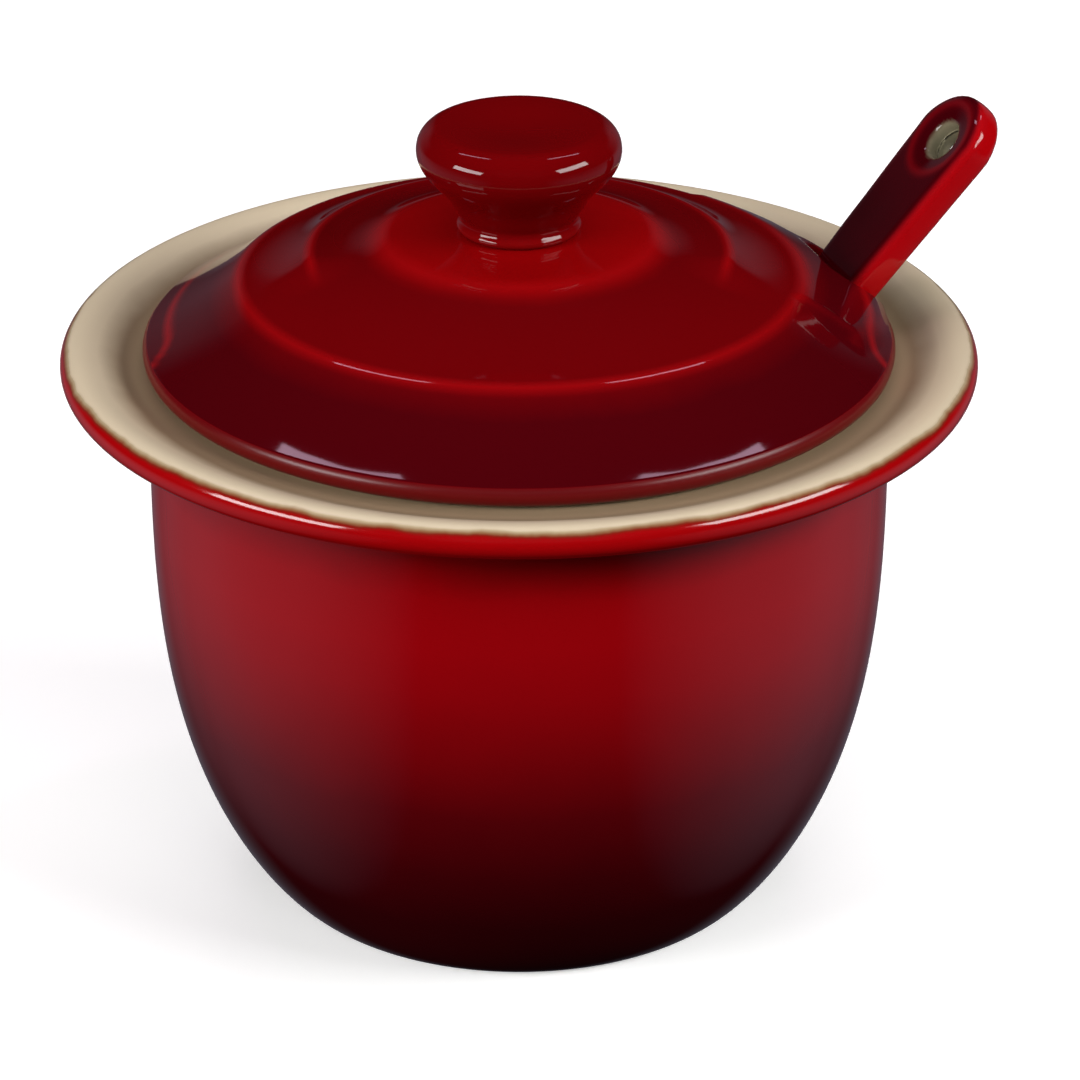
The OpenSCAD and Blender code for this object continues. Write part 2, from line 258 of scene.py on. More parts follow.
def lid_height(r, angle):
    """Height of the lid's upper face, and how near each point is to a crest, 0 to 1."""
    skirt = step(r, skirt_r, ring_1, skirt_sag)
    hood, lip = hood_height(r, angle)
    outer = -soft_min(-skirt, -hood, hood_foot_soft)[0]
    on_hood = (hood > skirt) & (r > ring_1)
    ringed, near_2 = soft_min(step(r, ring_1, ring_2, ring_sag),
                              step(r, ring_2, ring_3, ring_sag), ring_soft)
    turn = np.abs(np.mod(angle - band_dir + np.pi, 2 * np.pi) - np.pi)
    shown = ease(band_angle / 2 - fade_before, band_angle / 2 + fade_after, turn)
    inner = step(r, ring_1, ring_3, ring_sag) * (1 - shown) + ringed * shown
    crown, near_3 = soft_min(inner, step(r, ring_3, flat_r, 0), crown_soft)
    height, near_1 = soft_min(outer, crown, ring_soft)
    crest = np.maximum.reduce([near_1, near_2 * shown, near_3, 0.2 * lip * on_hood])
    return np.minimum(height, top_z), crest


crests = np.array([ring_1, ring_2, ring_3])
print("crest heights at the back:", np.round(lid_height(crests, np.full(3, np.pi / 2))[0], 2))

# %% [markdown]
# The notch is an open slot through the lid's edge that lets the handle out. Its place could be
# read off the photo, but it follows better from the spoon: the handle leans on the pot's mouth
# and passes through the lid's wall, and the notch ends a small gap behind it. A few rounds of
# the same sum settle the height at which the handle's face meets the lid's underside.

# %% Place of the notch
def handle_width(d):
    """Width of the spoon's handle at a distance from the bowl's middle."""
    share = np.clip((d - bowl_len / 2) / (handle_len - bowl_len / 2), 0, None)
    return neck_w + (end_w - neck_w) * share**1.15


w_mouth = float(handle_width(handle_len * 2 / 3))
mouth_x = math.sqrt((mouth_r + mouth_round) ** 2 - (w_mouth / 2) ** 2)
mouth_z = seat_z - mouth_round
face_x0 = (mouth_x - (mouth_round + clear + handle_t) / math.cos(spoon_lean)
           - mouth_z * math.tan(spoon_lean))
meet = lid_z
for _ in range(6):
    meet = (meet + dome(face_x0 + meet * math.tan(spoon_lean)) - lid_wall) / 2
notch_x = face_x0 + meet * math.tan(spoon_lean) - notch_end_gap
notch_half = w_mouth / 2 + notch_side_gap
print("notch ends at x =", round(notch_x, 2), "mm, half width", round(notch_half, 2), "mm")


# %% Outline of the notch and the distance from it
def notch_side(x):
    """Half width of the slot, which flares a little towards the lid's edge."""
    start = notch_x + notch_round
    return notch_half + notch_flare * np.clip((x - start) / (lid_r + 1 - start), 0, 1)


def from_notch(x, y):
    """Distance in plan from a slot whose two inner corners are round."""
    qx, qy = notch_x + notch_round - x, np.abs(y) - (notch_side(x) - notch_round)
    return np.hypot(np.maximum(qx, 0), np.maximum(qy, 0)) - notch_round


corner_r, corner_angle = math.hypot(notch_x, notch_half), math.atan2(notch_half, notch_x)
half_turn = notch_round * math.sqrt(0.5)
turn_y = notch_half - notch_round + half_turn
bend = np.radians(np.linspace(45, 90, 20))
side_x = np.concatenate([notch_x + notch_round - notch_round * np.cos(bend),
                         np.linspace(notch_x + notch_round, lid_r + 1, 40)[1:]])
side_y = np.concatenate([notch_half - notch_round + notch_round * np.sin(bend),
                         notch_side(side_x[20:])])
side_rho, side_az = np.hypot(side_x, side_y), np.arctan2(side_y, side_x)
straight_r = side_rho[19]
print("slot's corners end at", round(float(straight_r), 2), "mm from the axis")

# %% [markdown]
# The notch is an open slot in the plan, so the grid is bent to fit it: a grid of circles and
# spokes has one circle pushed to the notch's inner end and one spoke on each side pushed to its
# two sides, and the lines next to them follow, less and less. A boolean cut would be quicker, but
# it tends to leave slivers along the lip, which show in glossy glaze. Lines stand closer
# together at the ring crests and at the lip.

# %% Circles of the lid's grid
near_lip = np.array([0, 0.12, 0.28, 0.5, 0.75, 1.05, 1.4, 1.8])
corner_shares = np.array([0, 0.07, 0.16, 0.27, 0.4, 0.55, 0.7, 0.85, 1])
corner_lines = corner_r + (straight_r - corner_r) * corner_shares
crest_lines = np.concatenate([c + np.linspace(-1.2, 1.2, 13) for c in (ring_3, ring_2, ring_1)])
wide = np.concatenate([[3, 6], np.linspace(flat_r - 0.6, flat_r + 0.6, 4),
                       np.linspace(10.5, ring_3, 9), np.linspace(ring_3, ring_1, 26),
                       np.linspace(ring_1, 42.2, 9), np.linspace(42.4, skirt_r, 28)])
fixed = np.concatenate([corner_r - near_lip, corner_lines])
others = np.concatenate([crest_lines, wide])
others = others[np.min(np.abs(others[:, None] - fixed), axis=1) > 0.12]
others = others[(others < corner_r - 0.05) | (others > straight_r)]
top_r = np.sort(np.concatenate([fixed, others]))
top_r = top_r[np.concatenate([[True], np.diff(top_r) > 0.02])]
bead = arc(lid_r - lid_edge_r, lid_z + lid_edge_r, lid_edge_r, 46, -90, 18)
foot = np.vstack([[[lid_r - lid_edge_r - 1, lid_z]],
                  arc(lid_in_r + 0.6, lid_z + 0.6, 0.6, -90, -180, 5)])
under_wide = np.concatenate([np.linspace(lid_in_r, straight_r, 14),
                             np.linspace(corner_r - 2.4, 2, 18)])
under_r = np.sort(np.concatenate([fixed, under_wide]))[::-1]
under_r = under_r[np.concatenate([[True], np.diff(under_r) < -0.02])]
line_r = np.concatenate([[0], top_r, bead[:, 0], foot[:, 0], under_r, [0]])
tops, rims = 1 + len(top_r), len(bead) + len(foot)
first_open = int(np.argmin(np.abs(line_r[:tops] - corner_r)))
last_open = tops + rims + int(np.argmin(np.abs(under_r - corner_r)))
print("lid grid:", len(line_r), "lines, open from line", first_open, "to", last_open)

# %% Spokes of the lid's grid
spread_angles = np.concatenate([np.arange(17, 28, 1.1), np.arange(28, 40, 0.5),
                                np.arange(40, 180.1, 1.7)])
side_spokes = np.concatenate([corner_angle + near_lip[1:] / corner_r, np.radians(spread_angles)])
slot_n = 10
slot = np.linspace(-corner_angle, corner_angle, 2 * slot_n + 1)
spokes = np.concatenate([slot, side_spokes, 2 * np.pi - side_spokes[::-1]])
print("lid grid:", len(spokes), "spokes,", 2 * slot_n + 1, "of them over the notch")

# %% Bend the grid round the notch
signed = np.mod(spokes + np.pi, 2 * np.pi) - np.pi
sign = np.where(signed < 0, -1.0, 1.0)
outward = np.clip((line_r - corner_r) / (straight_r - corner_r), 0, 1)
rho = np.maximum(side_rho[0] + (straight_r - side_rho[0]) * outward, line_r)
side_turn = np.interp(rho, side_rho, side_az) - corner_angle
side_shift = rho - line_r
end_y = turn_y * signed / corner_angle
past = np.clip(np.abs(end_y) - (notch_half - notch_round), 0, None)
end_x = notch_x + notch_round - np.sqrt(notch_round**2 - np.minimum(past, notch_round) ** 2)
end_turn, end_shift = np.arctan2(end_y, end_x) - signed, np.hypot(end_x, end_y) - corner_r
in_slot = np.abs(signed) <= corner_angle + 1e-9
follow = 1 - ease(0.05, 1.05, np.abs(signed) - corner_angle)
inside = line_r < corner_r - 1e-6
fade_in = np.where(inside, 1 - ease(0.8, 2.25, corner_r - line_r), 1)
turn_in = np.where(in_slot, end_turn, sign * side_turn[first_open] * follow)
shift_in = np.where(in_slot, end_shift, side_shift[first_open] * follow)
within = (inside | (np.abs(line_r - corner_r) < 1e-6))[:, None]
turn_by = np.where(within, fade_in[:, None] * turn_in, sign * side_turn[:, None] * follow)
shift_by = np.where(within, fade_in[:, None] * shift_in, side_shift[:, None] * follow)
radius, angle = line_r[:, None] * np.ones(len(spokes)) + shift_by, signed + turn_by
print("points moved by up to", round(float(np.abs(shift_by).max()), 2), "mm along their spokes")

# %% [markdown]
# Now every grid point gets its height: the formula above on top, the two round edges outside,
# and the dome less one wall below. Near the slot every point sinks along its normal by a quarter
# circle, which rounds the lip as a wet sponge does. Three marks go along: thin is high on crests
# and at the lip, below is 1 under the lid, and the mark of the sprayed shade runs outwards from 0
# to 1.

# %% Heights on the bent grid
lip_top_r, lip_under_r, lip_thin, lip_thin_w = 1.1, 0.7, 0.3, 0.6
height = np.zeros_like(radius)
height[:tops], crest = lid_height(radius[:tops], angle[:tops])
height[tops:tops + rims] = np.concatenate([bead[:, 1], foot[:, 1]])[:, None]
height[tops + rims:] = dome(radius[tops + rims:]) - lid_wall
thin = np.zeros_like(radius)
thin[:tops] = crest
face_out, face_up = np.zeros_like(radius), np.zeros_like(radius)
face_up[:tops] = 1
tilt = np.radians(np.linspace(46, -90, len(bead)))[:, None]
face_out[tops:tops + len(bead)], face_up[tops:tops + len(bead)] = np.cos(tilt), np.sin(tilt)
face_up[tops + len(bead):] = -1
x, y = radius * np.cos(angle), radius * np.sin(angle)
away = np.clip(from_notch(x, y), 0, None)
lip_r = np.where(face_up > 0, lip_top_r, lip_under_r)
sink = lip_r - np.sqrt(np.clip(lip_r**2 - np.clip(lip_r - away, 0, None) ** 2, 0, None))
thin = np.maximum(thin, lip_thin * np.exp(-((away / lip_thin_w) ** 2)))
x, y = x - face_out * sink * np.cos(angle), y - face_out * sink * np.sin(angle)
height = height - face_up * sink
below = np.zeros_like(radius)
below[tops + len(bead) - 3:] = 1
spray_and_painted_light = radius / skirt_r * 0.94
spray_and_painted_light[tops:] = 1
print("lip sinks by up to", round(float(sink.max()), 2), "mm")

# %% [markdown]
# The faces inside the slot are left out, and its walls are put in their place: one strip of
# quads at the inner end, a strip in each round corner, and one flat face along each side.

# %% Lid
def at(line, column):
    """Number of the grid point on a line and a spoke."""
    return line * len(spokes) + column


quads = ring_faces(len(line_r), len(spokes))
line_of, column_of = np.divmod(np.arange(len(quads)), len(spokes))
in_gap = (line_of >= first_open) & (line_of < last_open) & (column_of < 2 * slot_n)
across, down = np.arange(2 * slot_n), np.arange(len(corner_lines) - 1)
strips = [quads[~in_gap], np.stack([at(first_open, across), at(first_open, across + 1),
                                    at(last_open, across + 1), at(last_open, across)], -1)]
side_walls = []
for side in (0, 2 * slot_n):
    strips.append(np.stack([at(first_open + down, side), at(first_open + down + 1, side),
                            at(last_open - down - 1, side), at(last_open - down, side)], -1))
    side_walls.append(at(np.arange(first_open + len(down), last_open - len(down) + 1), side))
lid = make_piece("Lid", np.stack([x, y, height], -1).reshape(-1, 3), np.concatenate(strips),
                 {"thin": thin.ravel(), "below": below.ravel(), "spray_and_painted_light": spray_and_painted_light.ravel()}, side_walls)

# %% [markdown]
# The knob is turned as well: a bead round its foot, a neck, and a head that swells like a
# mushroom with a shallow dish on top. The solid joins its points with straight lines. Rounding
# those off with subdivision would shrink the neck, so a smooth curve goes through the points.

# %% A smooth curve through points
def through(points, steps):
    """Cubic stretches between points whose slope and bend both run on without a break."""
    t = along(points)
    h, n = np.diff(t), len(t)
    i = np.arange(1, n - 1)
    left, right_side = np.eye(n), np.zeros((n, 2))
    left[i, i - 1], left[i, i], left[i, i + 1] = h[:-1], 2 * (h[:-1] + h[1:]), h[1:]
    right_side[1:-1] = 6 * np.diff(np.diff(points, axis=0) / h[:, None], axis=0)
    bend = np.linalg.solve(left, right_side)
    s = np.linspace(0, t[-1], steps)
    k = np.clip(np.searchsorted(t, s, side="right") - 1, 0, n - 2)
    u, w, g = (s - t[k])[:, None], (t[k + 1] - s)[:, None], h[k][:, None]
    return ((bend[k] * w**3 + bend[k + 1] * u**3) / (6 * g)
            + (points[k] / g - bend[k] * g / 6) * w
            + (points[k + 1] / g - bend[k + 1] * g / 6) * u)


print("a smooth curve has", len(through(np.array([[0.0, 0], [1, 1], [2, 0]]), 9)), "points")

# %% Knob
knob_r, knob_h, neck_r, foot_r, foot_h, knob_dish = 13.3, 14.3, 7.5, 8.1, 1.5, 0.6
rise_shares = np.array([0.19, 0.34, 0.5, 0.65, 0.78])
out_shares = np.array([0.09, 0.31, 0.66, 0.93, 1])
head_z = knob_h * rise_shares[-1]
head_round = knob_h - head_z
bead_x, bead_r, head_x = foot_r - foot_h / 2, foot_h / 2, knob_r - head_round
flare = np.stack([neck_r + (knob_r - neck_r) * out_shares, knob_h * rise_shares], -1)
waist = np.vstack([arc(bead_x, bead_r, bead_r, 15, 15, 1), [[neck_r + 0.15, foot_h + 0.4]],
                   flare, arc(head_x, head_z, head_round, 18, 18, 1)])
dish = np.linspace(0, 1, 14)[1:]
dish_z = knob_h - knob_dish * (1 - np.cos(np.pi * dish)) / 2
knob_profile = np.vstack([
    [[0, 0]], arc(bead_x, bead_r, bead_r, -90, 15, 12)[:-1], through(waist, 60)[:-1],
    arc(head_x, head_z, head_round, 18, 90, 20), np.stack([head_x * (1 - dish), dish_z], -1)])
knob_profile[:, 1] += top_z
bead_thin_w, bead_thin_r = 0.7, 7.8
from_bead = (knob_profile[:, 1] - top_z - foot_h / 2) / bead_thin_w
knob_thin = 0.5 * np.exp(-(from_bead**2)) * (knob_profile[:, 0] > bead_thin_r)
knob = turned("Knob", knob_profile[:, 0], knob_profile[:, 1], 192,
              {"thin": knob_thin, "below": 0 * knob_thin, "spray_and_painted_light": 0 * knob_thin})

# %% [markdown]
# The spoon is one piece of clay, pressed or cast, and glazed all over. It could be shaped from a
# subdivided box, but two simple skins keep to the solid's sizes. The handle is a flat bar that
# widens to a round end, and the bowl is a slice of a spindle, hollowed by a smaller spindle.
# Both are closed, in the spoon's own plane, with the handle along x and its face at z = 0.

# %% Handle of the spoon, lying flat
def bar_half(d, inset):
    """Half width of the bar at a distance from the bowl's middle, drawn in by inset."""
    end_r = end_w / 2
    beyond = np.clip(d - (handle_len - end_r), 0, None)
    round_end = np.sqrt(np.clip((end_r - inset) ** 2 - beyond**2, 0, None))
    return np.minimum(handle_width(d) / 2 - inset, round_end)


def bar_grid():
    """Outlines of the bar from its upper to its lower face, drawn in where the edge is round."""
    turn = np.radians(np.linspace(90, 0, 7))
    edge_drop, edge_inset = handle_round * (1 - np.sin(turn)), handle_round * (1 - np.cos(turn))
    drop = np.concatenate([edge_drop, handle_t - edge_drop[::-1]])
    inset = np.concatenate([edge_inset, edge_inset[::-1]])
    tip = 0.9 + 0.1 * np.sin(np.linspace(0, np.pi / 2, 30))[1:]
    s = np.concatenate([np.linspace(0, 0.9, 60), tip])
    start = bowl_len / 2 - bowl_wall
    d = start + (handle_len - inset[:, None] - start) * s
    half = bar_half(d, inset[:, None])
    loop = np.concatenate([np.stack([d, half], -1), np.stack([d, -half], -1)[:, ::-1]], 1)
    z = np.broadcast_to(-drop[:, None], loop.shape[:2])
    grid = np.concatenate([loop, z[..., None]], -1)
    cap = lambda row: np.broadcast_to(row.mean(0), row.shape)[None]
    return np.concatenate([cap(grid[0]), grid, cap(grid[-1])])


bar = bar_grid()
print("bar", bar.shape)


# %% Bowl of the spoon, lying flat
def spindle(shrink):
    """A spindle cut by the bowl's rim: an arc turned about an axis above the rim."""
    axis = ((bowl_w / 2) ** 2 - bowl_depth**2) / (2 * bowl_depth)
    drop = bowl_arc_r - axis - bowl_depth
    r = bowl_arc_r - shrink
    reach = math.sqrt(r**2 - (axis + drop) ** 2)
    girth = lambda px: np.sqrt(r**2 - px**2) - drop
    turn = np.linspace(0, 2 * np.pi, 96, endpoint=False)
    ox = reach * np.cos(turn)
    oy = np.sqrt(np.clip(girth(ox) ** 2 - axis**2, 0, None)) * np.sign(np.sin(turn))
    scale = np.sin(np.linspace(0, np.pi / 2, 26))[:, None]
    px, py = scale * ox, scale * oy
    return np.stack([px, py, axis - np.sqrt(np.clip(girth(px) ** 2 - py**2, 0, None))], -1)


bowl = np.concatenate([spindle(0), spindle(bowl_wall)[::-1]])
print("bowl", bowl.shape)

# %% [markdown]
# On the real spoon clay and glaze soften the joint of handle and bowl. A bevel on the edge that
# a boolean leaves there easily breaks, so booleans only join the two and cut the hole, a voxel
# remesh makes one even skin of them, and smoothing rounds the joint. The helper pieces are
# removed afterwards.

# %% Fuse and soften the spoon
voxel, soften_times, pin_top, pin_bottom = 0.42, 14, 3, -8


def plain_skin(name, grid):
    """A closed skin over a grid, with nothing else on it."""
    return make_piece(name, grid.reshape(-1, 3), ring_faces(*grid.shape[:2]), {})


def lift(ring, z):
    """The same ring of points at another height."""
    return ring + np.array([0, 0, z])


spoon_bar, spoon_bowl = plain_skin("Spoon_bar", bar), plain_skin("Spoon_bowl", bowl)
pin_turn = np.linspace(0, 2 * np.pi, 48, endpoint=False)
pin_ring = np.stack([hole_x + hole_r * np.cos(pin_turn), hole_r * np.sin(pin_turn),
                     0 * pin_turn], -1)
pin_axis = np.broadcast_to([hole_x, 0, 0], pin_ring.shape)
pin = plain_skin("Spoon_pin", np.stack([lift(pin_axis, pin_top), lift(pin_ring, pin_top),
                                        lift(pin_ring, pin_bottom), lift(pin_axis, pin_bottom)]))
cut = spoon_bar.modifiers.new("hole", "BOOLEAN")
cut.operation, cut.object, cut.solver = "DIFFERENCE", pin, "EXACT"
join = spoon_bar.modifiers.new("bowl", "BOOLEAN")
join.operation, join.object, join.solver = "UNION", spoon_bowl, "EXACT"
fuse = spoon_bar.modifiers.new("fuse", "REMESH")
fuse.mode, fuse.voxel_size = "VOXEL", voxel * MM
soften = spoon_bar.modifiers.new("soften", "SMOOTH")
soften.factor, soften.iterations = 0.5, soften_times
depsgraph = bpy.context.evaluated_depsgraph_get()
fused = bpy.data.meshes.new_from_object(spoon_bar.evaluated_get(depsgraph))
for scrap in (spoon_bar, spoon_bowl, pin):
    bpy.data.objects.remove(scrap)
print("fused spoon", len(fused.vertices), "points", len(fused.polygons), "faces")

# %% [markdown]
# A soft dimple surrounds the hanging hole. The marks say where the clay is bare in the hole,
# where the glaze is thin on the handle's edges, and where the narrow sides are, which are painted
# bright as painted light while the faces are painted dark as painted shade.

# %% Dimple and marks of the spoon
p = np.empty(len(fused.vertices) * 3)
fused.vertices.foreach_get("co", p)
p = p.reshape(-1, 3) / MM
dimple_soft, bare_in, bare_out, past_joint = 0.4, 0.1, 0.55, 4
edge_w, edge_depth, side_in, side_out, ring_w, ring_depth = 0.5, 1.6, 0.2, 0.9, 0.6, 2
from_hole = np.hypot(p[:, 0] - hole_x, p[:, 1])
near_face = p[:, 2] > -handle_t * 0.45
p[:, 2] -= dimple_depth * (1 - ease(hole_r * 0.6, dimple_r + dimple_soft, from_hole)) * near_face
bare = 1 - ease(hole_r - bare_in, hole_r + bare_out, from_hole)
to_side = bar_half(np.clip(p[:, 0], 0, handle_len - 0.01), 0) - np.abs(p[:, 1])
past_bowl = p[:, 0] > bowl_len / 2 + past_joint
on_edge = np.exp(-(((to_side - edge_w) / edge_w) ** 2)) * past_bowl * (p[:, 2] > -edge_depth)
# The narrow sides are marked for painted light, and the faces are left for painted shade
painted_light_sides = (1 - ease(side_in, side_out, to_side)) * (p[:, 0] > bowl_len / 2)
ring_thin = 0.5 * np.exp(-(((from_hole - dimple_r) / ring_w) ** 2)) * (p[:, 2] > -ring_depth)
set_marks(fused, {"thin": np.maximum(0.8 * on_edge, ring_thin), "bare": bare,
                  "below": 0 * bare, "spray_and_painted_light": painted_light_sides})
print("bare points in the hole:", int((bare > 0.5).sum()))

# %% [markdown]
# The spoon leans in the pot with its bowl a small gap above the floor. Its object stays at the
# origin, and its points are turned and moved instead, because the export expects that.

# %% Set the spoon in its place
sin_l, cos_l = math.sin(spoon_lean), math.cos(spoon_lean)
bowl_z = floor_t + clear + (1 - sin_l) * bowl_arc_r + bowl_depth * sin_l
bowl_x = face_x0 + bowl_z * math.tan(spoon_lean)
placed = np.stack([bowl_x + p[:, 0] * sin_l - p[:, 2] * cos_l, p[:, 1],
                   bowl_z + p[:, 0] * cos_l + p[:, 2] * sin_l], -1)
fused.vertices.foreach_set("co", (placed * MM).ravel())
fused.shade_smooth()
spoon = bpy.data.objects.new("Spoon", fused)
bpy.context.scene.collection.objects.link(spoon)
print("spoon's lowest point:", round(float(placed[:, 2].min()), 2), "mm")

# %% [markdown]
# Colours are written as the eye reads them, in sRGB hex, and one function turns them to the
# linear values that Blender mixes with. One helper adds a node, sets it and links its inputs.

# %% Colour and node helpers
def paint(code):
    """Linear red, green, blue and alpha of an sRGB hex colour."""
    c = np.array([int(code[i:i + 2], 16) for i in (1, 3, 5)]) / 255
    return (*np.where(c <= 0.04045, c / 12.92, ((c + 0.055) / 1.055) ** 2.4).tolist(), 1.0)


def add(tree, kind, settings=None, stops=(), **inputs):
    """Adds a node. Settings are its own properties, stops are (place, colour, alpha if not 1)
    along its ramp, and inputs are values or sockets to link, by name or by number after _."""
    node = tree.nodes.new(kind)
    for key, value in (settings or {}).items():
        setattr(node, key, value)
    if stops:
        elements = node.color_ramp.elements
        while len(elements) < len(stops):
            elements.new(0.5)
        for element, (spot, code, *alpha) in zip(elements, stops):
            element.position, element.color = spot, (*paint(code)[:3], *(alpha or [1.0]))
    for key, value in inputs.items():
        by_number = key[0] == "_"
        socket = node.inputs[int(key[1:]) if by_number else key.replace("_", " ")]
        if isinstance(value, bpy.types.NodeSocket):
            tree.links.new(value, socket)
        else:
            socket.default_value = value
    return node


def finish_of(name, roughness, specular, ior=1.5):
    """A new material with only its shader, and the tree to add its pattern to."""
    material = bpy.data.materials.new(name)
    material.use_nodes = True
    tree = material.node_tree
    shader = tree.nodes["Principled BSDF"]
    shader.inputs["Roughness"].default_value = roughness
    shader.inputs["Specular IOR Level"].default_value = specular
    shader.inputs["IOR"].default_value = ior
    return material, tree, shader


print("middle grey in linear light:", round(paint("#808080")[0], 3))

# %% [markdown]
# Every glaze here has the same two patterns. Their scales come from real sizes: pieces are in
# metres, so noise with a scale of 110 has patches 1 m / 110 = 9.1 mm across, and with 90 it has
# waves of 11.1 mm. The patches shift the shades a little, as spraying leaves them. The waves are
# too shallow to see by themselves, but they let the reflections waver as on real glaze. An image
# texture could carry both, but noise needs no file and no unwrapping.

# %% Patterns that the glazes share
patch_scale, wave_scale, wave_strength, wave_depth = 110.0, 90.0, 0.12, 0.0006


def patchy_shades(tree, place, share, shift, shades):
    """Colour along a share from 0 to 1, shifted a little by the cloudy patches."""
    patches = add(tree, "ShaderNodeTexNoise", Vector=place, Scale=patch_scale, Detail=3.0,
                  Roughness=0.5)
    drift = add(tree, "ShaderNodeMath", {"operation": "MULTIPLY_ADD"},
                _0=patches.outputs["Fac"], _1=shift, _2=share)
    return add(tree, "ShaderNodeValToRGB", stops=shades, Fac=drift.outputs[0]).outputs["Color"]


def wavy_skin(tree, place, shader):
    """Links a very shallow wave to the shader's normal."""
    wave = add(tree, "ShaderNodeTexNoise", Vector=place, Scale=wave_scale, Detail=1.0)
    bump = add(tree, "ShaderNodeBump", Height=wave.outputs["Fac"], Strength=wave_strength,
               Distance=wave_depth)
    tree.links.new(bump.outputs["Normal"], shader.inputs["Normal"])


print("patches:", round(1000 / patch_scale, 1), "mm, waves:", round(1000 / wave_scale, 1), "mm")

# %% [markdown]
# The lid, the knob and the spoon carry a glossy red stoneware glaze, sprayed and fired. It is
# glass with pigment in it, of IOR 1.5, and gives the eye a deep wet red with sharp reflections.
# One plain colour would look like plastic, so the shade follows a mark from bright to deep: the
# sprayed glaze on the lid, and on the spoon painted light on the sides and painted shade on the
# faces. It goes lighter on crests, where the mark thin says that the glaze is thin. The lid's
# outer edge and its cream underside are duller.

# %% Red glaze
def red_glaze(name, shades, crest_colour, under_colour, edge_roughness=0.05):
    """Red glaze whose shades are (place, colour) along a mark: spray on the lid, painted light and
    shade on the spoon; crests are thinner.
    """
    material, tree, shader = finish_of(name, 0.05, 0.25)
    place = add(tree, "ShaderNodeTexCoord").outputs["Object"]
    spray_and_painted_light = add(tree, "ShaderNodeAttribute", {"attribute_name": "spray_and_painted_light"}).outputs["Fac"]
    body = patchy_shades(tree, place, spray_and_painted_light, 0.03, shades)
    thin_mark = add(tree, "ShaderNodeAttribute", {"attribute_name": "thin"})
    crest_share = add(tree, "ShaderNodeMath", {"operation": "MULTIPLY"},
                      _0=thin_mark.outputs["Fac"], _1=0.6)
    crested = add(tree, "ShaderNodeMix", {"data_type": "RGBA"}, _0=crest_share.outputs[0],
                  _6=body, _7=paint(crest_colour))
    under = add(tree, "ShaderNodeAttribute", {"attribute_name": "below"})
    lined = add(tree, "ShaderNodeMix", {"data_type": "RGBA"}, _0=under.outputs["Fac"],
                _6=crested.outputs[2], _7=paint(under_colour))
    dulled = add(tree, "ShaderNodeMapRange", Value=spray_and_painted_light,
                 _1=0.95, _2=1.0, _3=0.05, _4=edge_roughness)
    wavy_skin(tree, place, shader)
    tree.links.new(lined.outputs[2], shader.inputs["Base Color"])
    tree.links.new(dulled.outputs["Result"], shader.inputs["Roughness"])
    return material, tree, shader, lined


# The lid is bright on its flat top, deeper on the band and deepest on the skirt, cream below
lid_shades = [(0.0, "#900306"), (0.33, "#900306"), (0.42, "#620206"), (0.7, "#6a0206"),
              (0.8, "#480208"), (0.965, "#460208"), (1.0, "#5e0206")]
lid_red = red_glaze("Glossy_red_glaze_lid", lid_shades, "#9c080c", "#b8a88c", 0.3)[0]
lid.data.materials.append(lid_red)
print("lid:", lid_red.name)

# %% Red glaze of the knob and the spoon
# The knob is one even deep red
knob_red = red_glaze("Glossy_red_glaze_knob", [(0.0, "#6a0205"), (1.0, "#6a0205")],
                     "#8c0c0c", "#6a0205")[0]
# The spoon's faces carry painted shade, nearly black red, and its sides painted light, bright red;
# bare greyish clay is in its hole
spoon_red, tree, shader, coat = red_glaze(
    "Glossy_red_glaze_spoon", [(0.0, "#3c0108"), (1.0, "#a60309")], "#a01018", "#780206")
bare_mark = add(tree, "ShaderNodeAttribute", {"attribute_name": "bare"})
hole_mix = add(tree, "ShaderNodeMix", {"data_type": "RGBA"}, _0=bare_mark.outputs["Fac"],
               _6=coat.outputs[2], _7=paint("#8c866c"))
tree.links.new(hole_mix.outputs[2], shader.inputs["Base Color"])
knob.data.materials.append(knob_red)
spoon.data.materials.append(spoon_red)
print("knob and spoon:", knob_red.name, spoon_red.name)

# %% [markdown]
# The pot carries three finishes on one body of clay: the glossy red glaze outside, a satin cream
# glaze over the rim's top and inside, and bare clay under the foot. The red goes darker towards
# the foot, partly sprayed so and partly as painted shade of the lower body, which gets little
# light, so its ramp follows the height. Where it stops on the rim it thins to orange brown before
# the cream begins, and the line wanders a little, which a noise added to edge_mm gives. The cream
# is painted browner in the ditch beside the seat, as painted shade under the lid's edge, and gives
# the eye a soft sheen.

# %% Red glaze of the pot
pot_glaze, tree, shader = finish_of("Red_and_cream_glaze_pot", 0.06, 0.4)
place = add(tree, "ShaderNodeTexCoord").outputs["Object"]
level = add(tree, "ShaderNodeSeparateXYZ", Vector=place)
rise_share = add(tree, "ShaderNodeMapRange", Value=level.outputs["Z"], _1=0.0, _2=0.078)
wavy_skin(tree, place, shader)
# Nearly black red at the foot, partly sprayed and partly painted shade; clear red under the
# rim; deeper in the fillet, partly pooled glaze and partly painted shadow of the rim; bright on the
# edge
body_stops = [(0.05, "#3e0106"), (0.16, "#3a0106"), (0.28, "#470107"), (0.41, "#5b0209"),
              (0.53, "#7a030a"), (0.645, "#90030b"), (0.73, "#98030b"), (0.82, "#97030a"),
              (0.89, "#780206"), (0.95, "#a00408")]
body_red = patchy_shades(tree, place, rise_share.outputs["Result"], 0.04, body_stops)
print("red glaze of the pot in", len(body_stops), "shades")

# %% Cream glaze and bare clay of the pot
edge = add(tree, "ShaderNodeAttribute", {"attribute_name": "edge_mm"})
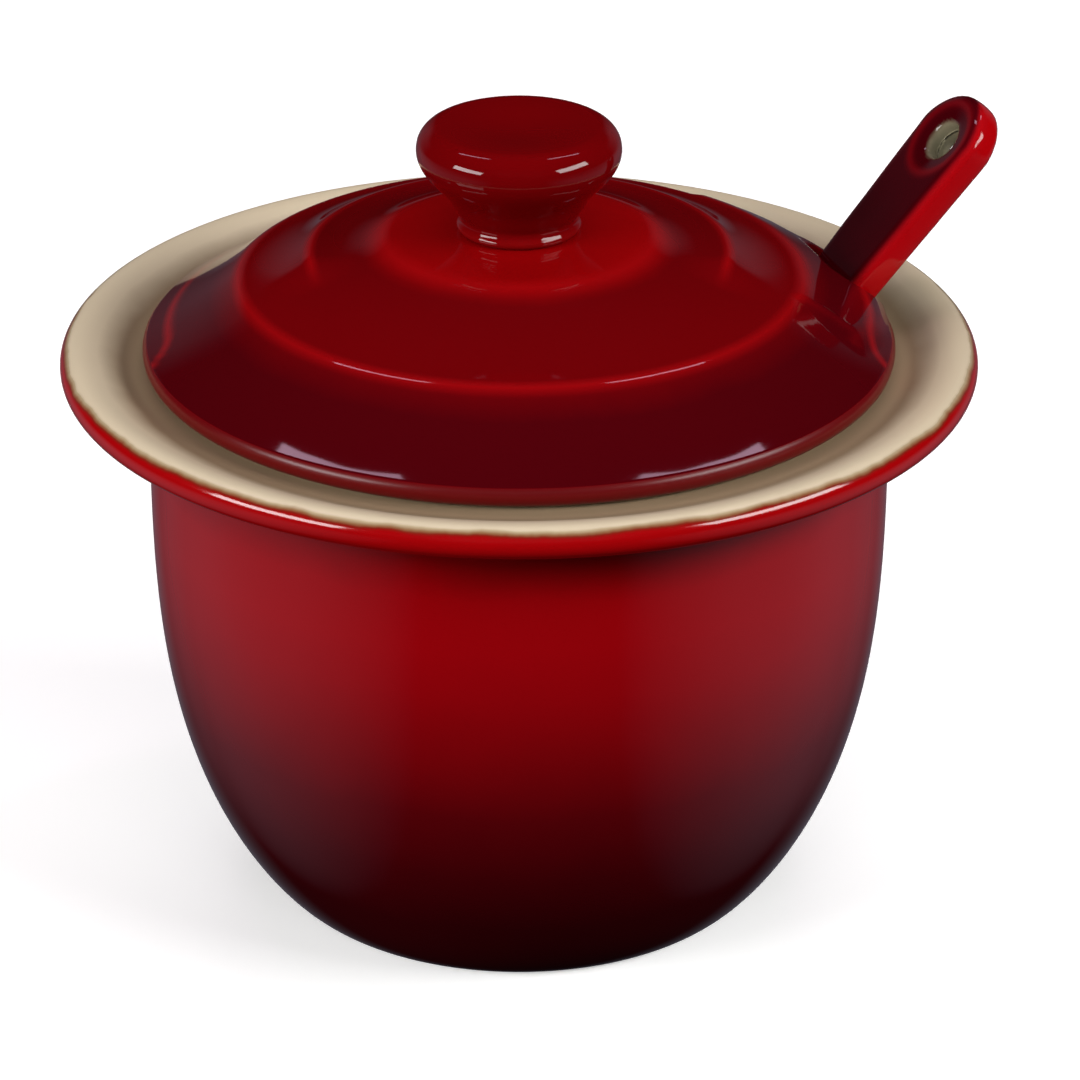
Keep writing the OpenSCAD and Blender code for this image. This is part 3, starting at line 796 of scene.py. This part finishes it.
# The line wanders by up to 1.2 mm, in waves of 1 m / 160 = 6.3 mm
wander_scale, wander_mm, edge_span_mm = 160.0, 1.2, 20.0
wander = add(tree, "ShaderNodeTexNoise", Vector=place, Scale=wander_scale, Detail=3.0)
wandered = add(tree, "ShaderNodeMath", {"operation": "MULTIPLY_ADD"},
               _0=wander.outputs["Fac"], _1=wander_mm, _2=edge.outputs["Fac"])
edge_share = add(tree, "ShaderNodeMapRange", Value=wandered.outputs[0], _1=0.0, _2=edge_span_mm)
cream = "#cebea2"
# The brown stops from 0.44 to 0.62 lie in the ditch beside the seat: painted shade under the lid's
# edge
edge_stops = [(0.0, "#8c0408", 0.0), (0.022, "#7c2014"), (0.038, "#8c6444"), (0.056, "#ae9a7a"),
              (0.075, cream), (0.26, cream), (0.44, "#917c62"), (0.62, "#917c62"), (0.85, cream)]
edge_ramp = add(tree, "ShaderNodeValToRGB", stops=edge_stops, Fac=edge_share.outputs["Result"])
glazed = add(tree, "ShaderNodeMix", {"data_type": "RGBA"}, _0=edge_ramp.outputs["Alpha"],
             _6=body_red, _7=edge_ramp.outputs["Color"])
foot_mark = add(tree, "ShaderNodeAttribute", {"attribute_name": "foot_mm"})
foot_share = add(tree, "ShaderNodeMapRange", Value=foot_mark.outputs["Fac"], _1=0.3, _2=0.7)
clay = add(tree, "ShaderNodeMix", {"data_type": "RGBA"}, _0=foot_share.outputs["Result"],
           _6=paint("#b9a78c"), _7=glazed.outputs[2])
# The cream glaze is a satin one, so reflections blur on it
satin = add(tree, "ShaderNodeMapRange", Value=edge_share.outputs["Result"],
            _1=0.03, _2=0.07, _3=0.1, _4=0.32)
tree.links.new(clay.outputs[2], shader.inputs["Base Color"])
tree.links.new(satin.outputs["Result"], shader.inputs["Roughness"])
pot.data.materials.append(pot_glaze)
print("pot glaze:", pot_glaze.name)

# %% [markdown]
# Each piece rides on the body that carries it and stands for its solid, which is hidden.
# The knob is stuck to the lid, so both ride on the lid's body.

# %% Tie the pieces to the frame
for piece, body, node, slot_name in ((pot, "pot", "pot", "pot_glaze"),
                                     (lid, "lid", "lid", "lid_glaze"),
                                     (knob, "lid", "lid_knob", "knob_glaze"),
                                     (spoon, "spoon", "spoon", "spoon_glaze")):
    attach(piece, body)
    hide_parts(node)
    print(piece.name, "rides on", body)

# %% [markdown]
# The pot stands on plain white paper. Strong lamps alone could whiten it, but they would burn
# out the cream, so the paper glows a little. It is hidden from reflections and throws no light
# back on the pot, so that the foot of the body stays dark.

# %% Floor
span, paper_glow = 4.0, 0.3
floor_mesh = bpy.data.meshes.new("Floor")
floor_mesh.from_pydata([(-span, -span, 0), (span, -span, 0), (span, span, 0), (-span, span, 0)],
                       [], [(0, 1, 2, 3)])
floor = bpy.data.objects.new("Floor", floor_mesh)
bpy.context.scene.collection.objects.link(floor)
# Matt paper, rolled, gives the eye an even white without a shine
floor_paper, _, floor_shader = finish_of("Matt_white_paper", 0.9, 0.1)
floor_shader.inputs["Base Color"].default_value = paint("#fbfbfa")
floor_mesh.materials.append(floor_paper)
floor_shader.inputs["Emission Color"].default_value = paint("#ffffff")
floor_shader.inputs["Emission Strength"].default_value = paper_glow
floor.visible_diffuse, floor.visible_glossy = False, False
print("floor:", 2 * span, "m square")

# %% [markdown]
# The camera stands 19 degrees to the left of the pot's front and looks down at 25.5 degrees.
# That angle comes from the outline in the photo, which fits about as well from 0.35 to 0.8 m
# away, so 0.7 m is a choice within that. The shift moves the picture by 21 of its 1080 pixels.

# %% Camera
look_turn, look_down, distance, aim_z = math.radians(19.0), math.radians(25.5), 0.7, 0.0478
shift_px, photo_px = 21, 1080
lens = bpy.data.cameras.new("Camera")
camera = bpy.data.objects.new("Camera", lens)
bpy.context.scene.collection.objects.link(camera)
camera.location = (-distance * math.cos(look_down) * math.sin(look_turn),
                   -distance * math.cos(look_down) * math.cos(look_turn),
                   aim_z + distance * math.sin(look_down))
camera.rotation_euler = (math.pi / 2 - look_down, 0, -look_turn)
lens.lens, lens.sensor_width, lens.clip_start = 175.0, 36.0, 0.01
lens.shift_x = shift_px / photo_px
bpy.context.scene.camera = camera
bpy.context.scene.view_settings.view_transform = "Standard"
print("camera at", tuple(round(c, 3) for c in camera.location))

# %% [markdown]
# Two softboxes in front, left and right, are the main light and give the paired streaks on the
# rim and the knob. Two slim strips high up behind, a little pink, give the paired patches on the
# lid's skirt. Two big fills lift the shadows and are hidden from reflections, where they would
# lay a veil. An image of a studio could light it all, but lamps can be moved one by one.

# %% Lamps
def softbox(name, side, back, up, reach, across, tall, power, roll, tint="#ffffff"):
    """A soft panel in the direction (side, back, up) as the camera sees it, facing the pot."""
    lamp = bpy.data.lights.new(name, "AREA")
    lamp.shape, lamp.size, lamp.size_y, lamp.energy = "RECTANGLE", across, tall, power
    lamp.color = paint(tint)[:3]
    panel = bpy.data.objects.new(name, lamp)
    bpy.context.scene.collection.objects.link(panel)
    right = Vector((math.cos(look_turn), -math.sin(look_turn), 0))
    ahead = Vector((math.sin(look_turn), math.cos(look_turn), 0))
    way = (right * side + ahead * back + Vector((0, 0, up))).normalized()
    panel.location = way * reach + Vector((0, 0, 0.05))
    panel.rotation_euler = way.to_track_quat("Z", "Y").to_euler()
    panel.rotation_euler.rotate_axis("Z", math.radians(roll))
    print(name, power, "W at", tuple(round(c, 2) for c in panel.location))
    return panel


softbox("Left key", -0.80, -0.46, 0.36, 1.0, 0.60, 0.26, 8.0, 0)
softbox("Right key", 0.78, -0.34, 0.50, 1.0, 0.64, 0.26, 8.0, 0)
softbox("Left strip", -0.344, 0.318, 0.884, 2.0, 0.12, 0.62, 2.0, 5, "#ffdcfa")
softbox("Right strip", 0.344, 0.318, 0.884, 2.0, 0.12, 0.62, 2.0, -5, "#ffdcfa")
softbox("Front fill", 0.0, -0.8, 0.5, 1.6, 1.4, 1.0, 8.5, 0).visible_glossy = False
softbox("Top fill", 0.0, 0.5, 0.85, 1.6, 1.0, 1.0, 6.5, 0).visible_glossy = False

# %% [markdown]
# What the glaze mirrors besides the lamps is the room, so the room's glow depends on direction.
# Its axes are turned by the photo's 19 degrees and stay there in every view. A dim wall behind
# the pot, parted in the middle above the horizon, gives the rings their soft sheen. Below the
# horizon the two sides glow, which lights the flanks of the body and leaves its middle a clear
# red. All the rest is nearly dark.

# %% Room
side_glow, wall_glow, rest_glow = 0.3, 0.12, 0.004
world = bpy.data.worlds.new("Pale studio")
bpy.context.scene.world = world
world.use_nodes = True
sky = world.node_tree
toward = add(sky, "ShaderNodeTexCoord").outputs["Generated"]
way = add(sky, "ShaderNodeVectorRotate", {"rotation_type": "Z_AXIS"},
          Vector=toward, Angle=look_turn)
axes = add(sky, "ShaderNodeSeparateXYZ", Vector=way.outputs["Vector"])
sideways = add(sky, "ShaderNodeMath", {"operation": "ABSOLUTE"}, _0=axes.outputs["X"])
beside = add(sky, "ShaderNodeMapRange", Value=sideways.outputs[0],
             _1=0.45, _2=0.85, _3=0.0, _4=side_glow)
low = add(sky, "ShaderNodeMapRange", Value=axes.outputs["Z"], _1=0.0, _2=-0.25)
behind = add(sky, "ShaderNodeMapRange", Value=axes.outputs["Y"],
             _1=0.55, _2=0.85, _3=0.0, _4=wall_glow)
wall = add(sky, "ShaderNodeMapRange", Value=axes.outputs["Z"], _1=0.42, _2=0.30)
parted = add(sky, "ShaderNodeMapRange", Value=sideways.outputs[0], _1=0.14, _2=0.36)
parted_or_low = add(sky, "ShaderNodeMath", {"operation": "MAXIMUM"},
                    _0=parted.outputs["Result"], _1=low.outputs["Result"])
walls = add(sky, "ShaderNodeMath", {"operation": "MULTIPLY"},
            _0=wall.outputs["Result"], _1=parted_or_low.outputs[0])
table_glow = add(sky, "ShaderNodeMath", {"operation": "MULTIPLY_ADD"},
                 _0=beside.outputs["Result"], _1=low.outputs["Result"], _2=rest_glow)
glow = add(sky, "ShaderNodeMath", {"operation": "MULTIPLY_ADD"},
           _0=behind.outputs["Result"], _1=walls.outputs[0], _2=table_glow.outputs[0])
air = sky.nodes["Background"]
air.inputs["Color"].default_value = paint("#ece8ff")
sky.links.new(glow.outputs[0], air.inputs["Strength"])
print("room made of", len(sky.nodes), "nodes")

# %% [markdown]
# The dressed part has to fill the same box as the imported one.

# %% [markdown]

# %% Finish
print("dressed:", [piece.name for piece in (pot, lid, knob, spoon)])
